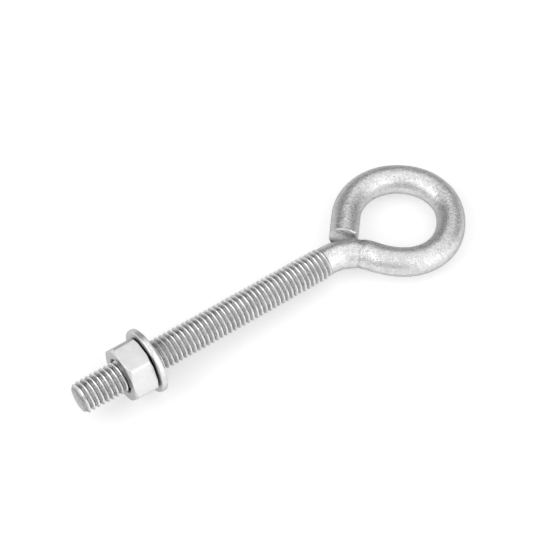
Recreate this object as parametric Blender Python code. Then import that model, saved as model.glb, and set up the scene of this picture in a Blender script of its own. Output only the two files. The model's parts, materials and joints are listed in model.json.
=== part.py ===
"""Eye bolt with its hex nut and flat washer, for Blender 4.5 (metres, +Z up).

The bolt is one rod: a right-hand thread is rolled over the whole straight shank, and past the thread
the rod takes a short S-bend into an open, unwelded eye. It lies as it would on a bench: the washer's
rim and the far side of the eye touch the floor, z = 0, and the shank rises gently towards its tip.

Everything is modelled in the bolt's own frame, where +X runs along the shank from the tip to the eye,
the centre of the eye is the origin and the eye is in the XY plane. The empty "lying" turns that frame
on to the floor. A place s is a distance along the rod from its tip, and phi is an angle round the rod
from its left side (+Y on the shank) towards +Z.
"""

import math

import bmesh
import bpy
import numpy as np
from mathutils import Vector

MM = 0.001
TAU = 2 * math.pi

# Thread, measured from the axis.
PITCH = 1.25 * MM
CREST_RADIUS = 3.88 * MM
ROOT_RADIUS = 3.18 * MM
CREST_FLAT = PITCH / 8
FLANK_SLOPE = math.tan(math.radians(30))
THREAD_TURN = math.radians(-68)  # phi of a crest at the tip's face

# Rod and eye.
ROD_RADIUS = 3.53 * MM
TIP_TO_EYE = 91.3 * MM  # to the centre of the eye
NECK_TO_EYE = 21.4 * MM  # where the shank ends and the neck starts to bend
NECK_BEND = (58.4, 11.1)  # to the right, as degrees and the centreline's radius in mm
EYE_BENDS = [(21, 19.6), (68, 11.6), (33, 15.2), (67, 12.1), (98, 13.2)]  # to the left, a little out of round
TIP_RADIUS = 3.1 * MM  # end face, inside the chamfer
THREAD_LENGTH = TIP_TO_EYE - 22.4 * MM
RUNOUT = PITCH
END_LENGTH = 7.0 * MM  # the rod's straight end, past the last bend
ROD_SIDES = 20
BEND_STEP = math.radians(7.5)

# Hex nut.
NUT_ACROSS_FLATS = 12.73 * MM
NUT_THICKNESS = 6.0 * MM
NUT_FACE_RADIUS = 6.3 * MM  # flat ring inside the corner chamfers
NUT_CHAMFER_SLOPE = math.tan(math.radians(30))
NUT_TURN = math.radians(3.8)  # phi of a corner
NUT_SIDES = 36
NUT_CREST_GAP = 0.2 * MM  # radial gaps to the bolt's crest and root
NUT_ROOT_GAP = 0.3 * MM
NUT_FLANK_GAP = 0.14 * MM  # along the axis, on each flank
COUNTERSINK_RADIUS = 4.6 * MM

# Flat washer.
WASHER_RADIUS = 8.0 * MM
WASHER_HOLE_RADIUS = 4.3 * MM
WASHER_THICKNESS = 1.45 * MM
WASHER_BEVEL = 0.2 * MM
WASHER_SIDES = 48

# Where the two sit on the shank.
WASHER_X = -72.93 * MM
WASHER_LIFT = 0.35 * MM  # the shank rests low in the washer's hole
SEAT_GAP = 0.4 * MM  # between the loose nut and the washer
NUT_X = WASHER_X - WASHER_THICKNESS / 2 - SEAT_GAP - NUT_THICKNESS / 2


def thread_profile(top, foot, top_half):
    """Corners of one ridge as (place from its middle, radius)."""
    foot_half = top_half + (top - foot) * FLANK_SLOPE
    return [(-foot_half, foot), (-top_half, top), (top_half, top), (foot_half, foot)]


BOLT_THREAD = thread_profile(CREST_RADIUS, ROOT_RADIUS, CREST_FLAT / 2)
NUT_THREAD = thread_profile(
    CREST_RADIUS + NUT_CREST_GAP,
    ROOT_RADIUS + NUT_ROOT_GAP,
    CREST_FLAT / 2 + NUT_FLANK_GAP - NUT_CREST_GAP * FLANK_SLOPE,
)


def thread_radius(profile, s, phi):
    from_middle = ((s / PITCH - (phi - THREAD_TURN) / TAU + 0.5) % 1 - 0.5) * PITCH
    places, radii = zip(*profile)
    return float(np.interp(from_middle, places, radii))


def thread_places(profile, phi, start, end):
    """Places of every corner of the thread at angle phi, held between start and end."""
    turns = range(math.floor(start / PITCH) - 2, math.ceil(end / PITCH) + 2)
    first = (phi - THREAD_TURN) / TAU
    places = [(turn + first) * PITCH + place for turn in turns for place, _ in profile]
    return [min(max(place, start), end) for place in places]


def left_of(heading):
    return Vector((-math.sin(heading), math.cos(heading), 0))


def rod_legs():
    """The rod's centreline as (length, radius): 0 is straight, and a negative radius bends right."""
    degrees, radius = NECK_BEND
    bends = [(degrees, -radius), *EYE_BENDS]
    arcs = [(math.radians(degrees) * abs(radius) * MM, radius * MM) for degrees, radius in bends]
    return [(TIP_TO_EYE - NECK_TO_EYE, 0), *arcs, (END_LENGTH, 0)]


LEGS = rod_legs()


def centreline(s):
    """The centreline's point at s, and the unit vector to its left."""
    point, heading = Vector((-TIP_TO_EYE, 0, 0)), 0.0
    for length, bend in LEGS:
        step = min(s, length)
        s -= step
        if bend:
            centre = point + bend * left_of(heading)
            heading += step / bend
            point = centre - bend * left_of(heading)
        else:
            point = point + step * Vector((math.cos(heading), math.sin(heading), 0))
    return point, left_of(heading)


def rod_radius(s, phi):
    """The thread, cut by the tip's 45 degree chamfer, and faded out into the plain rod."""
    radius = min(thread_radius(BOLT_THREAD, s, phi), TIP_RADIUS + s)
    fade = min(max((s - THREAD_LENGTH) / RUNOUT + 1, 0), 1)
    return radius + (ROD_RADIUS - radius) * fade


def rod_point(s, phi):
    centre, left = centreline(s)
    return centre + rod_radius(s, phi) * (math.cos(phi) * left + Vector((0, 0, math.sin(phi))))


def plain_places():
    """Places of the rings from the thread's end to the rod's end, close together in the bends."""
    places, start = [THREAD_LENGTH], 0
    for length, bend in LEGS:
        steps = math.ceil(length / abs(bend) / BEND_STEP) if bend else 1
        places += [start + length * (k + 1) / steps for k in range(steps)]
        start += length
    return sorted(place for place in places if place >= THREAD_LENGTH)


def nut_reach(phi):
    """From the axis to the hexagon at angle phi."""
    from_flat = (phi - NUT_TURN) % (TAU / 6) - TAU / 12
    return NUT_ACROSS_FLATS / 2 / math.cos(from_flat)


def nut_bore(x, phi):
    """The nut's thread, opened by a 45 degree countersink at each face."""
    thread = thread_radius(NUT_THREAD, x + NUT_X + TIP_TO_EYE, phi)
    return max(thread, COUNTERSINK_RADIUS - NUT_THICKNESS / 2 + abs(x))


def skin(bm, columns, wrap_shift=0):
    """Quads between neighbouring columns. The last column meets the first one wrap_shift points on."""
    for i, column in enumerate(columns):
        last = i == len(columns) - 1
        beside = columns[0][wrap_shift:] if last else columns[i + 1]
        for k in range(min(len(column), len(beside)) - 1):
            bm.faces.new((column[k], column[k + 1], beside[k + 1], beside[k]))


def around(sides, first=0.0):
    return [first + TAU * i / sides for i in range(sides)]


def axial(x, phi, radius):
    return Vector((x, radius * math.cos(phi), radius * math.sin(phi)))


def steel(name, colour, roughness):
    mat = bpy.data.materials.new(name)
    mat.use_nodes = True
    shader = mat.node_tree.nodes["Principled BSDF"]
    shader.inputs["Base Color"].default_value = (*colour, 1)
    shader.inputs["Metallic"].default_value = 1
    shader.inputs["Roughness"].default_value = roughness
    mat.diffuse_color = (*colour, 1)
    return mat


def finish(name, bm, mat, parent, location=(0, 0, 0)):
    """Welds the points that fall together, and makes the object."""
    bmesh.ops.remove_doubles(bm, verts=bm.verts, dist=0.001 * MM)
    bmesh.ops.recalc_face_normals(bm, faces=bm.faces)
    mesh = bpy.data.meshes.new(name)
    bm.to_mesh(mesh)
    bm.free()
    mesh.materials.append(mat)
    obj = bpy.data.objects.new(name, mesh)
    obj.parent = parent
    obj.location = location
    bpy.context.scene.collection.objects.link(obj)
    return obj


def eye_bolt(parent):
    bm = bmesh.new()
    angles = around(ROD_SIDES)
    threaded = [
        [bm.verts.new(rod_point(s, phi)) for s in thread_places(BOLT_THREAD, phi, 0, THREAD_LENGTH)]
        for phi in angles
    ]
    plain = [[bm.verts.new(rod_point(s, phi)) for s in plain_places()] for phi in angles]
    skin(bm, threaded, len(BOLT_THREAD))
    skin(bm, plain)
    bm.faces.new([column[0] for column in threaded])
    bm.faces.new([column[-1] for column in plain])
    return finish("eye_bolt", bm, steel("rolled_steel", (0.56, 0.56, 0.56), 0.42), parent)


def hex_nut(parent):
    bm = bmesh.new()
    half = NUT_THICKNESS / 2
    angles = around(NUT_SIDES, NUT_TURN)
    shift = NUT_X + TIP_TO_EYE
    bore = [
        [
            bm.verts.new(axial(s - shift, phi, nut_bore(s - shift, phi)))
            for s in thread_places(NUT_THREAD, phi, shift - half, shift + half)
        ]
        for phi in angles
    ]
    outside = []
    for phi in angles:
        reach = nut_reach(phi)
        corner = half - max(0, reach - NUT_FACE_RADIUS) * NUT_CHAMFER_SLOPE
        section = [
            (-half, nut_bore(-half, phi)),
            (-half, NUT_FACE_RADIUS),
            (-corner, reach),
            (corner, reach),
            (half, NUT_FACE_RADIUS),
            (half, nut_bore(half, phi)),
        ]
        outside.append([bm.verts.new(axial(x, phi, radius)) for x, radius in section])
    skin(bm, bore, len(NUT_THREAD))
    skin(bm, outside)
    return finish("hex_nut", bm, steel("zinc_plate", (0.72, 0.72, 0.72), 0.36), parent, (NUT_X, 0, 0))


def flat_washer(parent):
    bm = bmesh.new()
    half = WASHER_THICKNESS / 2
    rim = WASHER_RADIUS - WASHER_BEVEL
    section = [
        (-half, WASHER_HOLE_RADIUS),
        (-half, rim),
        (WASHER_BEVEL - half, WASHER_RADIUS),
        (half - WASHER_BEVEL, WASHER_RADIUS),
        (half, rim),
        (half, WASHER_HOLE_RADIUS),
        (-half, WASHER_HOLE_RADIUS),
    ]
    skin(bm, [[bm.verts.new(axial(x, phi, r)) for x, r in section] for phi in around(WASHER_SIDES)])
    mat = steel("washer_plate", (0.68, 0.68, 0.68), 0.34)
    return finish("flat_washer", bm, mat, parent, (WASHER_X, 0, WASHER_LIFT))


def lying_angle():
    """Slope of the shank when the washer's rim and the eye's far side are on the floor."""
    eye_far_side = max(centreline(s)[0].x for s in plain_places())
    run = eye_far_side - WASHER_X - WASHER_THICKNESS / 2 + WASHER_BEVEL
    rise = WASHER_RADIUS - WASHER_LIFT
    return math.atan2(rise, run) - math.asin(ROD_RADIUS / math.hypot(rise, run))


def set_down(lying, objects):
    """Tilts the bolt and moves it so that the middle of its base is at the world's origin."""
    lying.rotation_euler.y = lying_angle()
    bpy.context.view_layer.update()
    points = np.array([obj.matrix_world @ v.co for obj in objects for v in obj.data.vertices])
    low, high = points.min(axis=0), points.max(axis=0)
    lying.location = (-(low[0] + high[0]) / 2, 0, -low[2])


def main():
    for obj in list(bpy.data.objects):
        bpy.data.objects.remove(obj, do_unlink=True)
    lying = bpy.data.objects.new("lying", None)
    bpy.context.scene.collection.objects.link(lying)
    set_down(lying, [eye_bolt(lying), hex_nut(lying), flat_washer(lying)])


main()
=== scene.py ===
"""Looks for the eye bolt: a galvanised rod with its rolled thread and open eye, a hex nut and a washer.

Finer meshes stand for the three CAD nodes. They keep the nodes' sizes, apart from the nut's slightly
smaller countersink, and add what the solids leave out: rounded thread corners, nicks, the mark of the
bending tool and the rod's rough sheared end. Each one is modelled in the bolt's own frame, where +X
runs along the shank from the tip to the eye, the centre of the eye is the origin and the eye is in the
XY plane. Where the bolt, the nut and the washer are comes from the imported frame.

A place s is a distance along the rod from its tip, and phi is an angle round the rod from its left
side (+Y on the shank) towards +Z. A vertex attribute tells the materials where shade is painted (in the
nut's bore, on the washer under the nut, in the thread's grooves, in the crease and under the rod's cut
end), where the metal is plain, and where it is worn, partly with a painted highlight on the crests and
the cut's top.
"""

import json
import math

import bmesh
import bpy
import numpy as np
from mathutils import Matrix, Vector

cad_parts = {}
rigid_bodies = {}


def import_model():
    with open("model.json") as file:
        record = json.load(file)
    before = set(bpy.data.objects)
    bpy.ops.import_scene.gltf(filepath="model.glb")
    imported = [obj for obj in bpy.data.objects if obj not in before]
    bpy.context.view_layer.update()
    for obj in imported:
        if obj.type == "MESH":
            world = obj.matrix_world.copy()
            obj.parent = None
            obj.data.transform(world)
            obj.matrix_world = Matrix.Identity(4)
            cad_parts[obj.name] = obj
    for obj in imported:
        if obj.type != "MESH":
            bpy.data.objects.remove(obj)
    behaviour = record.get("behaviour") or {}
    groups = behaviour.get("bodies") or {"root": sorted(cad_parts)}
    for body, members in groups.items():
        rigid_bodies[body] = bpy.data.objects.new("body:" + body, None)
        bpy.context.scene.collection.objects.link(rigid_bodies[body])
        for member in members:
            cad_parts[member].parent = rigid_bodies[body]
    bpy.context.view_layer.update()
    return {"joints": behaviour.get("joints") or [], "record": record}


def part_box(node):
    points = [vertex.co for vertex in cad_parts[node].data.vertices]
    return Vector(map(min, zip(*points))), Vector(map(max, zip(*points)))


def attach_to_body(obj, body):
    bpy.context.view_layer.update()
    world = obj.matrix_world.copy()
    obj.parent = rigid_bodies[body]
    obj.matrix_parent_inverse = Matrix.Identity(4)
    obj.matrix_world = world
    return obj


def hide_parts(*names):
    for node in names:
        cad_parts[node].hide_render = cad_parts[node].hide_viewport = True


MM = 0.001
TAU = 2 * math.pi

# Thread.
PITCH = 1.25 * MM
CREST_RADIUS = 3.88 * MM
ROOT_RADIUS = 3.18 * MM
CREST_FLAT = PITCH / 8
FLANK_RUN = (CREST_RADIUS - ROOT_RADIUS) * math.tan(math.radians(30))
ROLLED_EDGE = 0.1 * MM  # how far rolling has rounded the thread's corners
THREAD_TURN = math.radians(-68)  # phi of a crest at the tip's face
RUNOUT = PITCH
THREAD_WAVE = 0.02 * MM  # unevenness, strongest on the crests
NICK_DEPTH = 0.14 * MM  # in the crests

# Rod and eye.
ROD_RADIUS = 3.53 * MM
TIP_TO_EYE = 91.3 * MM
NECK_TO_EYE = 21.4 * MM
THREAD_LENGTH = TIP_TO_EYE - 22.4 * MM
NECK_BEND = (58.4, 11.1)  # to the right, as degrees and the centreline's radius in mm
EYE_BENDS = [(21, 19.6), (68, 11.6), (33, 15.2), (67, 12.1), (98, 13.2)]  # to the left
END_LENGTH = 7.0 * MM
TIP_RADIUS = 3.1 * MM
ROD_WAVE = 0.03 * MM  # unevenness past the thread

# Mark of the bending tool on the neck.
CREASE = TIP_TO_EYE - 13.4 * MM
CREASE_DEPTH = 0.17 * MM
CREASE_HALF = 0.8 * MM

# The rod's sheared end, next to the neck.
CUT_ROUNDING = 0.4 * MM
CUT_BULGE = 0.45 * MM
CUT_SLANT = 0.45 * MM
SLANT_LENGTH = 1 * MM
BURR_HEIGHT = 0.35 * MM

# Nut. Its face is towards the tip and its seat towards the washer.
NUT_ACROSS_FLATS = 12.73 * MM
NUT_ACROSS_CORNERS = 14.5 * MM
NUT_CORNER_SHARPNESS = 90  # a lower power wears the corners rounder
NUT_THICKNESS = 6.0 * MM
NUT_FACE_RADIUS = 6.3 * MM
NUT_SEAT_RADIUS = 6.6 * MM
NUT_CHAMFER_SLOPE = math.tan(math.radians(30))
NUT_LEAST_CHAMFER = 0.02 * MM
NUT_ROUNDING = 0.12 * MM
NUT_TURN = math.radians(3.8)
NUT_CLEARANCE = 0.2 * MM
GROOVE_WIDENING = 1.2  # the nut's groove is this much wider than the bolt's ridge
COUNTERSINK_RADIUS = 4.4 * MM
COUNTERSINK_EDGE = 0.25 * MM  # a narrow ring round the hole, in which the bore's painted shade can change to plain

# Washer.
WASHER_RADIUS = 8.0 * MM
WASHER_HOLE_RADIUS = 4.3 * MM
WASHER_THICKNESS = 1.45 * MM
WASHER_ROUNDING = 0.4 * MM
WASHER_SHADE_RADIUS = 6.2 * MM  # inside this its face is under the nut, and has painted shade

# Meshes.
ROD_SIDES = 96
NUT_SIDES = 180
WASHER_SIDES = 144
ROWS_PER_PITCH = 20
ROW_STEP = 0.2 * MM
MERGE_DISTANCE = 0.001 * MM
SHARP_ANGLE = math.radians(40)

# Levels of painted shade and wear, kept in a vertex attribute.
# painted shade: in the nut's bore and on the washer's face under the nut
PAINTED_SHADE_LEVEL = -0.5
BORE_MOUTH_SHADE_LEVEL = 0.1  # lighter painted shade at the mouth of the nut's bore
PLAIN = 0.5
# worn crests, partly a painted highlight
WEAR_AND_SHEEN_LEVEL = 1.0

# Coating.
PAINTED_SHADE_TONE = 0.03  # share of the tone left where shade is painted darkest
WEAR_AND_SHEEN_GAIN = 0.2  # added to the tone where the metal is worn, and as a painted highlight on the crests and the cut's top
EDGE_TINT = (0.45, 0.45, 0.45, 1)  # reflectance near the grazing angle

# Camera.
CAMERA_AZIMUTH = -32.626
CAMERA_ELEVATION = 54.466
CAMERA_ROLL = -2.963
CAMERA_TARGET = Vector((3.56, 7.83, 4.0)) * MM
CAMERA_DISTANCE = 454 * MM
CAMERA_LENS = 128.0

# Studio: softboxes as (name, azimuth, elevation, size in metres, radiance), in a grey surround.
LIGHT_DISTANCE = 1.0
SOFTBOXES = [
    ("key", 20, 32, 1.2, 1.29),
    ("left", -108, 42, 0.85, 2.15),
    ("top", 112, 70, 1.1, 0.98),
    ("fill", -48, 42, 0.7, 0.75),
]
SURROUND = 0.25
HORIZON = 0.7  # the pale backdrop, up to the first of these heights and faded out by the second
HORIZON_HEIGHTS = (math.sin(math.radians(5.5)), math.sin(math.radians(9)))
FLOOR_RADIUS = 1.5
FLOOR_COLOUR = (0.6, 0.6, 0.6, 1)
FLOOR_GLOW = 0.75  # keeps the shadows faint


def rod_legs():
    """The rod's centreline as (length, radius): 0 is straight, and a negative radius bends right."""
    degrees, radius = NECK_BEND
    bends = [(degrees, -radius), *EYE_BENDS]
    arcs = [(math.radians(degrees) * abs(radius) * MM, radius * MM) for degrees, radius in bends]
    return [(TIP_TO_EYE - NECK_TO_EYE, 0), *arcs, (END_LENGTH, 0)]


LEGS = rod_legs()
ROD_LENGTH = sum(length for length, _ in LEGS)


def centreline(s):
    """The centreline's x and y at the places s, and its headings there."""
    x, y, heading = np.full(s.shape, -TIP_TO_EYE), np.zeros(s.shape), np.zeros(s.shape)
    start = 0
    for length, bend in LEGS:
        step = np.clip(s - start, 0, length)
        start += length
        if bend:
            turned = heading + step / bend
            x += bend * (np.sin(turned) - np.sin(heading))
            y -= bend * (np.cos(turned) - np.cos(heading))
            heading = turned
        else:
            x += step * np.cos(heading)
            y += step * np.sin(heading)
    return x, y, heading


def rod_points(s, phi, radius):
    """Points at this radius from the centreline."""
    x, y, heading = centreline(s)
    out = radius * np.cos(phi)
    parts = (x - out * np.sin(heading), y + out * np.cos(heading), radius * np.sin(phi))
    return np.stack(parts, axis=-1)


def ripple(points, size, seed):
    """Smooth noise, mostly from -1 to 1, with features of this size: a sum of random plane waves."""
    rng = np.random.default_rng(seed)
    waves = 12
    waves_by_axis = rng.normal(size=(3, waves))
    waves_by_axis *= TAU / (2 * size) / np.linalg.norm(waves_by_axis, axis=0)
    phases = rng.uniform(0, TAU, waves)
    return np.cos(points @ waves_by_axis + phases).sum(axis=-1) / math.sqrt(waves)


def smooth_step(t):
    """0 up to 0, 1 from 1 on, and an even curve between."""
    t = np.clip(t, 0, 1)
    return t * t * (3 - 2 * t)


def across_ridge(s, phi):
    """Distance along the rod from the middle of the nearest crest."""
    return ((s / PITCH - (phi - THREAD_TURN) / TAU + 0.5) % 1 - 0.5) * PITCH


def ridge(across):
    """The thread's height across its ridge, from 0 at the root to 1 at the crest."""
    ends = (CREST_FLAT / 2, CREST_FLAT / 2 + FLANK_RUN)
    shifts = np.linspace(-ROLLED_EDGE, ROLLED_EDGE, 7)
    return np.mean([np.interp(np.abs(across + shift), ends, (1, 0)) for shift in shifts], axis=0)


def burr(s, phi, points):
    """Height of the lip that the shears have raised on the upper side of the cut end."""
    along = np.exp(-(((ROD_LENGTH - s) / CUT_ROUNDING - 0.6) ** 2) * 4)
    upper = np.clip(2 * np.sin(phi), 0, 1)
    return BURR_HEIGHT * along * upper * (0.6 + 0.6 * ripple(points, 1.2 * MM, seed=5))


def edge_drop(s):
    """How far the rounded edge of the cut end is below the rod's side."""
    from_cut = np.clip(ROD_LENGTH - s, 0, CUT_ROUNDING)
    return CUT_ROUNDING - np.sqrt(CUT_ROUNDING**2 - (CUT_ROUNDING - from_cut) ** 2)


def cut_shift(s, phi, inward, points):
    """How far the shears have left the cut end standing out along the rod: bulged and slanted."""
    bulge = CUT_BULGE * (1 - inward**2) * (1 + 0.3 * ripple(points, 1.5 * MM, seed=6))
    near_cut = np.clip(1 - (ROD_LENGTH - s) / SLANT_LENGTH, 0, 1)
    return bulge + CUT_SLANT * np.clip(-np.cos(phi) * inward, 0, 1) * near_cut


def rod_shade_and_wear(s, phi, inward, crease):
    """Shade and wear past the thread: brighter up to the crease, painted shade in the crease, a painted
    highlight on the cut's top and a painted shadow on its lower side, next to the neck.
    """
    # low: how far down the cut end is, where its painted shadow falls
    low = np.clip(0.4 - 1.2 * np.sin(phi) * inward, 0, 1)
    on_cut = ROD_LENGTH - s < CUT_ROUNDING
    before_crease = np.clip((CREASE - s) / MM, 0, 1)
    return PLAIN + 0.12 * before_crease - 0.15 * crease + (0.5 - 1.4 * low) * on_cut


def bolt_surface(s, phi, inward=1.0):
    """Points of the bolt's skin and their levels of painted shade and wear.

    The points are drawn in towards the rod's centre by the factor inward, for its cut end.
    """
    height = ridge(across_ridge(s, phi))
    past_thread = smooth_step((s - THREAD_LENGTH) / RUNOUT + 1)
    threaded = ROOT_RADIUS + (CREST_RADIUS - ROOT_RADIUS) * height
    radius = threaded + (ROD_RADIUS - threaded) * past_thread
    ideal = rod_points(s, phi, radius)
    crest = height * (1 - past_thread)
    nicks = np.clip(ripple(ideal, 1.1 * MM, seed=3) - 1, 0, 1) * crest
    radius = radius + THREAD_WAVE * ripple(ideal, 3 * MM, seed=1) * (0.4 + crest) - NICK_DEPTH * nicks
    radius = radius + ROD_WAVE * ripple(ideal, 6 * MM, seed=2) * past_thread
    crease = np.exp(-(((s - CREASE) / CREASE_HALF) ** 2))
    radius = radius - CREASE_DEPTH * crease * (1 + 0.5 * ripple(ideal, 1.5 * MM, seed=4))
    radius = radius + burr(s, phi, ideal) - edge_drop(s)
    radius = np.minimum(radius * inward, TIP_RADIUS + s)
    shift = cut_shift(s, phi, inward, rod_points(s, phi, radius))
    # Painted shade in the thread's grooves, plain flanks, crests lighter as worn metal and partly as a
    # painted highlight; nicks darker.
    on_thread = np.interp(height, (0, 0.5, 0.85), (0.05, PLAIN, WEAR_AND_SHEEN_LEVEL)) - 0.6 * nicks
    shade_and_wear = on_thread + (rod_shade_and_wear(s, phi, inward, crease) - on_thread) * past_thread
    return rod_points(s + shift, phi, radius), shade_and_wear


def helix_rows(phi, low, high):
    """Places from low to high whose rows follow the thread round the rod.

    After a whole turn a row meets the one ROWS_PER_PITCH further on. Rows past an end stop at it.
    """
    turns = math.ceil((high - low) / PITCH) + 5
    rows = np.arange(turns * ROWS_PER_PITCH) / ROWS_PER_PITCH + math.floor(low / PITCH) - 2
    return np.clip((rows + (phi - THREAD_TURN) / TAU) * PITCH, low, high)


def angles(sides, first=0.0):
    return first + TAU * np.arange(sides) / sides


def axial(x, phi, radius):
    """A point this far from the shank's axis."""
    return Vector((x, radius * math.cos(phi), radius * math.sin(phi)))


def rounded(corners, radius, steps=4):
    """The outline through these corners as (x, radius) points, with each inner corner rounded off."""
    points = [Vector(corner) for corner in corners]
    outline = [points[0]]
    for before, corner, after in zip(points, points[1:], points[2:]):
        back, ahead = before - corner, after - corner
        cut = min(radius, 0.45 * back.length, 0.45 * ahead.length)
        start, end = corner + back.normalized() * cut, corner + ahead.normalized() * cut
        for k in range(steps + 1):
            t = k / steps
            outline.append((1 - t) ** 2 * start + 2 * t * (1 - t) * corner + t * t * end)
    return outline + [points[-1]]


def start_mesh():
    """An empty mesh and its layer for painted shade and wear."""
    bm = bmesh.new()
    return bm, bm.verts.layers.float.new("shade_and_wear")


def add_column(bm, layer, points, shade_and_wear):
    """Vertices at these points, each with its level of painted shade and wear."""
    column = [bm.verts.new(point) for point in points]
    for vert, value in zip(column, shade_and_wear):
        vert[layer] = value
    return column


def skin(bm, columns, wrap_shift=0):
    """Quads between neighbouring columns. The last column meets the first one wrap_shift points on."""
    for i, column in enumerate(columns):
        last = i == len(columns) - 1
        beside = columns[0][wrap_shift:] if last else columns[i + 1]
        for k in range(min(len(column), len(beside)) - 1):
            bm.faces.new((column[k], column[k + 1], beside[k + 1], beside[k]))


def make_object(name, bm, material):
    """The finished piece, with points that coincide merged and its faces turned out."""
    bmesh.ops.remove_doubles(bm, verts=bm.verts, dist=MERGE_DISTANCE)
    bmesh.ops.recalc_face_normals(bm, faces=bm.faces)
    mesh = bpy.data.meshes.new(name)
    bm.to_mesh(mesh)
    bm.free()
    mesh.materials.append(material)
    mesh.shade_smooth()
    mesh.set_sharp_from_angle(angle=SHARP_ANGLE)
    obj = bpy.data.objects.new(name, mesh)
    bpy.context.scene.collection.objects.link(obj)
    return obj


def bolt_mesh(material):
    """The rod: rows that follow the helix on its thread, and rows straight across it past the thread."""
    bm, layer = start_mesh()
    phi = angles(ROD_SIDES)[:, None]
    s = helix_rows(phi, 0, THREAD_LENGTH)
    surface = bolt_surface(s, phi + 0 * s)
    threaded = [add_column(bm, layer, *column) for column in zip(*surface)]
    skin(bm, threaded, ROWS_PER_PITCH)
    steps = math.ceil((ROD_LENGTH - THREAD_LENGTH) / ROW_STEP)
    along = np.linspace(THREAD_LENGTH, ROD_LENGTH - CUT_ROUNDING, steps)
    round_edge = ROD_LENGTH - CUT_ROUNDING * (1 - np.sin(np.linspace(0, TAU / 4, 9)[1:]))
    cut_face = np.linspace(0.95, 0.02, 12)
    s = np.concatenate((along, round_edge, ROD_LENGTH + 0 * cut_face))[None, :] + 0 * phi
    inward = np.concatenate((1 + 0 * along, 1 + 0 * round_edge, cut_face))[None, :]
    surface = bolt_surface(s, phi + 0 * s, inward)
    plain = [add_column(bm, layer, *column) for column in zip(*surface)]
    skin(bm, plain)
    for columns, row in ((threaded, 0), (plain, -1)):
        bm.faces.new([column[row] for column in columns])
    return make_object("eye_bolt_rod", bm, material)


def nut_reach(phi):
    """From the axis to the hexagon's side at phi, with its corners worn round."""
    from_flat = (phi - NUT_TURN) % (TAU / 6) - TAU / 12
    flat = NUT_ACROSS_FLATS / 2 / math.cos(from_flat)
    corner = NUT_ACROSS_CORNERS / 2
    return (flat**-NUT_CORNER_SHARPNESS + corner**-NUT_CORNER_SHARPNESS) ** (-1 / NUT_CORNER_SHARPNESS)


def nut_outline(phi):
    """The nut's outside at phi, from the edge of its bore at its face to the one at its seat."""
    half = NUT_THICKNESS / 2
    reach = nut_reach(phi)
    face_chamfer = max(NUT_LEAST_CHAMFER, reach - NUT_FACE_RADIUS) * NUT_CHAMFER_SLOPE
    seat_chamfer = max(NUT_LEAST_CHAMFER, reach - NUT_SEAT_RADIUS) * NUT_CHAMFER_SLOPE
    corners = [
        (-half, COUNTERSINK_RADIUS),
        (-half, COUNTERSINK_RADIUS + COUNTERSINK_EDGE),
        (-half, min(NUT_FACE_RADIUS, reach - NUT_LEAST_CHAMFER)),
        (face_chamfer - half, reach),
        (half - seat_chamfer, reach),
        (half, min(NUT_SEAT_RADIUS, reach - NUT_LEAST_CHAMFER)),
        (half, COUNTERSINK_RADIUS),
    ]
    return rounded(corners, NUT_ROUNDING)


def nut_bore(phi, middle):
    """Places and radii along the bore at phi, where middle is the place of the nut's centre."""
    half = NUT_THICKNESS / 2
    s = helix_rows(phi, middle - half, middle + half)
    groove = ridge(across_ridge(s, phi) / GROOVE_WIDENING)
    depth = CREST_RADIUS - ROOT_RADIUS - NUT_CLEARANCE
    threaded = ROOT_RADIUS + 2 * NUT_CLEARANCE + depth * groove
    countersunk = COUNTERSINK_RADIUS - half + np.abs(s - middle)
    return s, np.maximum(threaded, countersunk)


def nut_mesh(material, centre_x):
    bm, layer = start_mesh()
    outside, bore = [], []
    for phi in angles(NUT_SIDES, NUT_TURN):
        points = [axial(centre_x + x, phi, radius) for x, radius in nut_outline(phi)]
        outside.append(add_column(bm, layer, points, [PLAIN] * len(points)))
        places, radii = nut_bore(phi, centre_x + TIP_TO_EYE)
        points = [axial(s - TIP_TO_EYE, phi, radius) for s, radius in zip(places, radii)]
        # Painted shade in the bore, darkest deep in the thread and lighter at the countersink.
        shade_and_wear = np.interp(radii, (CREST_RADIUS, COUNTERSINK_RADIUS), (PAINTED_SHADE_LEVEL, BORE_MOUTH_SHADE_LEVEL))
        bore.append(add_column(bm, layer, points, shade_and_wear))
    skin(bm, outside)
    skin(bm, bore, ROWS_PER_PITCH)
    return make_object("hex_nut_body", bm, material)


def washer_mesh(material, centre):
    bm, layer = start_mesh()
    half = WASHER_THICKNESS / 2
    corners = [
        (0, WASHER_HOLE_RADIUS),
        (-half, WASHER_HOLE_RADIUS),
        (-half, WASHER_SHADE_RADIUS),
        (-half, WASHER_RADIUS),
        (half, WASHER_RADIUS),
        (half, WASHER_HOLE_RADIUS),
        (0, WASHER_HOLE_RADIUS),
    ]
    outline = rounded(corners, WASHER_ROUNDING, 6)
    # Painted shade on the face under the nut; plain elsewhere.
    shade_and_wear = [PAINTED_SHADE_LEVEL if x < 0 and radius < WASHER_SHADE_RADIUS else PLAIN for x, radius in outline]
    columns = []
    for phi in angles(WASHER_SIDES):
        points = [centre + axial(x, phi, radius) for x, radius in outline]
        columns.append(add_column(bm, layer, points, shade_and_wear))
    skin(bm, columns)
    return make_object("flat_washer_ring", bm, material)


def attach(obj, bolt_frame, body, node):
    """Puts the piece, modelled in the bolt's frame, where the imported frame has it."""
    obj.matrix_world = bolt_frame
    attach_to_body(obj, body)
    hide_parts(node)


def new_material(name, **inputs):
    """A material with these values on its Principled shader, its node tree and that shader."""
    material = bpy.data.materials.new(name)
    material.use_nodes = True
    shader = material.node_tree.nodes["Principled BSDF"]
    for socket, value in inputs.items():
        shader.inputs[socket.replace("_", " ")].default_value = value
    return material, material.node_tree, shader


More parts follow.
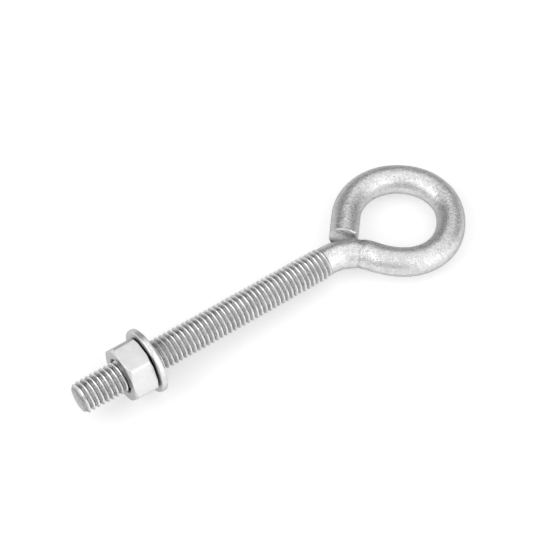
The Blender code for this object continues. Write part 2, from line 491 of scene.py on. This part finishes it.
def add_node(tree, kind, inputs, **settings):
    """A node with its settings, and values or other nodes' sockets on its inputs."""
    node = tree.nodes.new(kind)
    for name, value in settings.items():
        setattr(node, name, value)
    for name, value in inputs.items():
        if isinstance(value, bpy.types.NodeSocket):
            tree.links.new(value, node.inputs[name])
        else:
            node.inputs[name].default_value = value
    return node


def noise(tree, feature, detail, seed):
    """Noise from 0 to 1 with features of this size, in four dimensions so that seeds differ."""
    position = add_node(tree, "ShaderNodeTexCoord", {}).outputs["Object"]
    inputs = {"Vector": position, "W": seed, "Scale": 1 / feature, "Detail": detail, "Roughness": 0.6}
    return add_node(tree, "ShaderNodeTexNoise", inputs, noise_dimensions="4D").outputs[0]


def remap(tree, value, low, high, to_low, to_high):
    inputs = {"Value": value, "From Min": low, "From Max": high, "To Min": to_low, "To Max": to_high}
    return add_node(tree, "ShaderNodeMapRange", inputs, clamp=True).outputs[0]


def combine(tree, operation, first, second):
    inputs = {0: first, 1: second}
    return add_node(tree, "ShaderNodeMath", inputs, operation=operation).outputs[0]


def zinc_coating(name, light, dark, roughness, grain_size, grain_depth, speck_shade, seed):
    """Zinc on steel: cloudy grey tones, fine dark specks, and a frosted grain in the surface.

    A vertex attribute turns it nearly black where shade is painted, and brighter and smoother where the
    metal is worn and where a highlight is painted.
    """
    material, tree, shader = new_material(name, Metallic=1.0, Specular_Tint=EDGE_TINT)
    shade_and_wear = add_node(tree, "ShaderNodeAttribute", {}, attribute_name="shade_and_wear").outputs["Fac"]
    cloud = noise(tree, 9 * grain_size, 3, seed)
    grain = noise(tree, grain_size, 4, seed + 1)
    blotch = noise(tree, 3 * grain_size, 2, seed + 2)

    half_tones = [remap(tree, pattern, 0.3, 0.7, 0, 0.5) for pattern in (cloud, blotch)]
    tone = combine(tree, "ADD", *half_tones)
    specks = remap(tree, grain, 0.35, 0.55, speck_shade, 1)
    # Painted shade: the tone darkened towards black by the attribute.
    painted_darkening = remap(tree, shade_and_wear, PAINTED_SHADE_LEVEL, PLAIN, PAINTED_SHADE_TONE, 1)
    patchy = remap(tree, blotch, 0.3, 0.5, 0.4, 1)
    # Wear, and a painted highlight on the crests and the cut's top.
    wear_and_sheen = combine(tree, "MULTIPLY", remap(tree, shade_and_wear, 0.55, WEAR_AND_SHEEN_LEVEL, 0, 1), patchy)

    shade = combine(tree, "MULTIPLY", remap(tree, tone, 0, 1, dark, light), specks)
    shade = combine(tree, "MULTIPLY", shade, painted_darkening)
    shade = combine(tree, "ADD", shade, combine(tree, "MULTIPLY", wear_and_sheen, WEAR_AND_SHEEN_GAIN))
    rough = remap(tree, tone, 0, 1, roughness + 0.08, roughness - 0.06)
    rough = combine(tree, "ADD", rough, combine(tree, "MULTIPLY", wear_and_sheen, 0.02))
    relief = combine(tree, "ADD", grain, combine(tree, "MULTIPLY", blotch, 0.9))
    depth = remap(tree, shade_and_wear, PLAIN, WEAR_AND_SHEEN_LEVEL, grain_depth, 0.4 * grain_depth)
    bump = add_node(tree, "ShaderNodeBump", {"Height": relief, "Distance": depth})

    tree.links.new(shade, shader.inputs["Base Color"])
    tree.links.new(rough, shader.inputs["Roughness"])
    tree.links.new(bump.outputs[0], shader.inputs["Normal"])
    return material


def direction(azimuth, elevation):
    """Unit vector from the object, by the azimuth and elevation in degrees of the views."""
    a, e = math.radians(azimuth), math.radians(elevation)
    return Vector((math.sin(a) * math.cos(e), -math.cos(a) * math.cos(e), math.sin(e)))


def softbox(name, azimuth, elevation, size, radiance):
    """A square panel of light, facing the object from LIGHT_DISTANCE away."""
    light = bpy.data.lights.new(name, "AREA")
    light.size = size
    light.energy = radiance * math.pi * size**2
    obj = bpy.data.objects.new(name, light)
    away = direction(azimuth, elevation)
    obj.location = away * LIGHT_DISTANCE
    obj.rotation_euler = away.to_track_quat("Z", "Y").to_euler()
    bpy.context.scene.collection.objects.link(obj)


def make_floor():
    """A pale disc that glows a little."""
    glow = {"Emission_Color": FLOOR_COLOUR, "Emission_Strength": FLOOR_GLOW}
    material = new_material("floor", Base_Color=FLOOR_COLOUR, Roughness=0.8, **glow)[0]
    bm = bmesh.new()
    bmesh.ops.create_circle(bm, cap_ends=True, radius=FLOOR_RADIUS, segments=64)
    mesh = bpy.data.meshes.new("floor")
    bm.to_mesh(mesh)
    bm.free()
    mesh.materials.append(material)
    floor = bpy.data.objects.new("floor", mesh)
    bpy.context.scene.collection.objects.link(floor)


def make_world():
    """A pale backdrop round the horizon, and a darker surround above it for the metal to reflect."""
    world = bpy.data.worlds.new("studio")
    world.use_nodes = True
    tree = world.node_tree
    position = add_node(tree, "ShaderNodeTexCoord", {}).outputs["Generated"]
    height = add_node(tree, "ShaderNodeSeparateXYZ", {"Vector": position}).outputs["Z"]
    radiance = remap(tree, height, *HORIZON_HEIGHTS, HORIZON, SURROUND)
    tree.links.new(radiance, tree.nodes["Background"].inputs["Color"])
    bpy.context.scene.world = world


def make_camera():
    camera = bpy.data.cameras.new("camera")
    camera.lens = CAMERA_LENS
    camera.sensor_width = 36
    obj = bpy.data.objects.new("camera", camera)
    away = direction(CAMERA_AZIMUTH, CAMERA_ELEVATION)
    obj.location = CAMERA_TARGET + away * CAMERA_DISTANCE
    roll = Matrix.Rotation(math.radians(CAMERA_ROLL), 3, away)
    obj.rotation_euler = (roll @ away.to_track_quat("Z", "Y").to_matrix()).to_euler()
    bpy.context.scene.collection.objects.link(obj)
    bpy.context.scene.camera = obj


for old in list(bpy.data.objects):
    bpy.data.objects.remove(old, do_unlink=True)

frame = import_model()
joints = {joint["name"]: joint for joint in frame["joints"]}
mounts = {mount["name"]: mount for mount in frame["record"]["mounts"]}
shank_axis = Vector(joints["washer_slide"]["axis"])
side_axis = Vector((0, 1, 0))
bolt_frame = Matrix((shank_axis, side_axis, shank_axis.cross(side_axis))).transposed().to_4x4()
bolt_frame.translation = Vector(mounts["eye"]["pos_m"])
to_bolt = bolt_frame.inverted()
nut_x = (to_bolt @ Vector(joints["nut_spin"]["pos_m"])).x
washer_low, washer_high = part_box("flat_washer")
washer_centre = to_bolt @ ((washer_low + washer_high) / 2)

rod_zinc = zinc_coating(
    "rod_zinc",
    light=0.88,
    dark=0.61,
    roughness=0.25,
    grain_size=0.32 * MM,
    grain_depth=0.13 * MM,
    speck_shade=0.76,
    seed=1,
)
nut_zinc = zinc_coating(
    "nut_zinc",
    light=0.77,
    dark=0.71,
    roughness=0.36,
    grain_size=0.25 * MM,
    grain_depth=0.01 * MM,
    speck_shade=0.9,
    seed=11,
)
washer_zinc = zinc_coating(
    "washer_zinc",
    light=0.88,
    dark=0.74,
    roughness=0.34,
    grain_size=0.3 * MM,
    grain_depth=0.05 * MM,
    speck_shade=0.75,
    seed=21,
)
rod = bolt_mesh(rod_zinc)
nut = nut_mesh(nut_zinc, nut_x)
washer = washer_mesh(washer_zinc, washer_centre)
attach(rod, bolt_frame, "bolt", "eye_bolt")
attach(nut, bolt_frame, "nut", "hex_nut")
attach(washer, bolt_frame, "washer", "flat_washer")

make_floor()
make_camera()
for light in SOFTBOXES:
    softbox(*light)
make_world()
bpy.context.scene.view_settings.view_transform = "Standard"
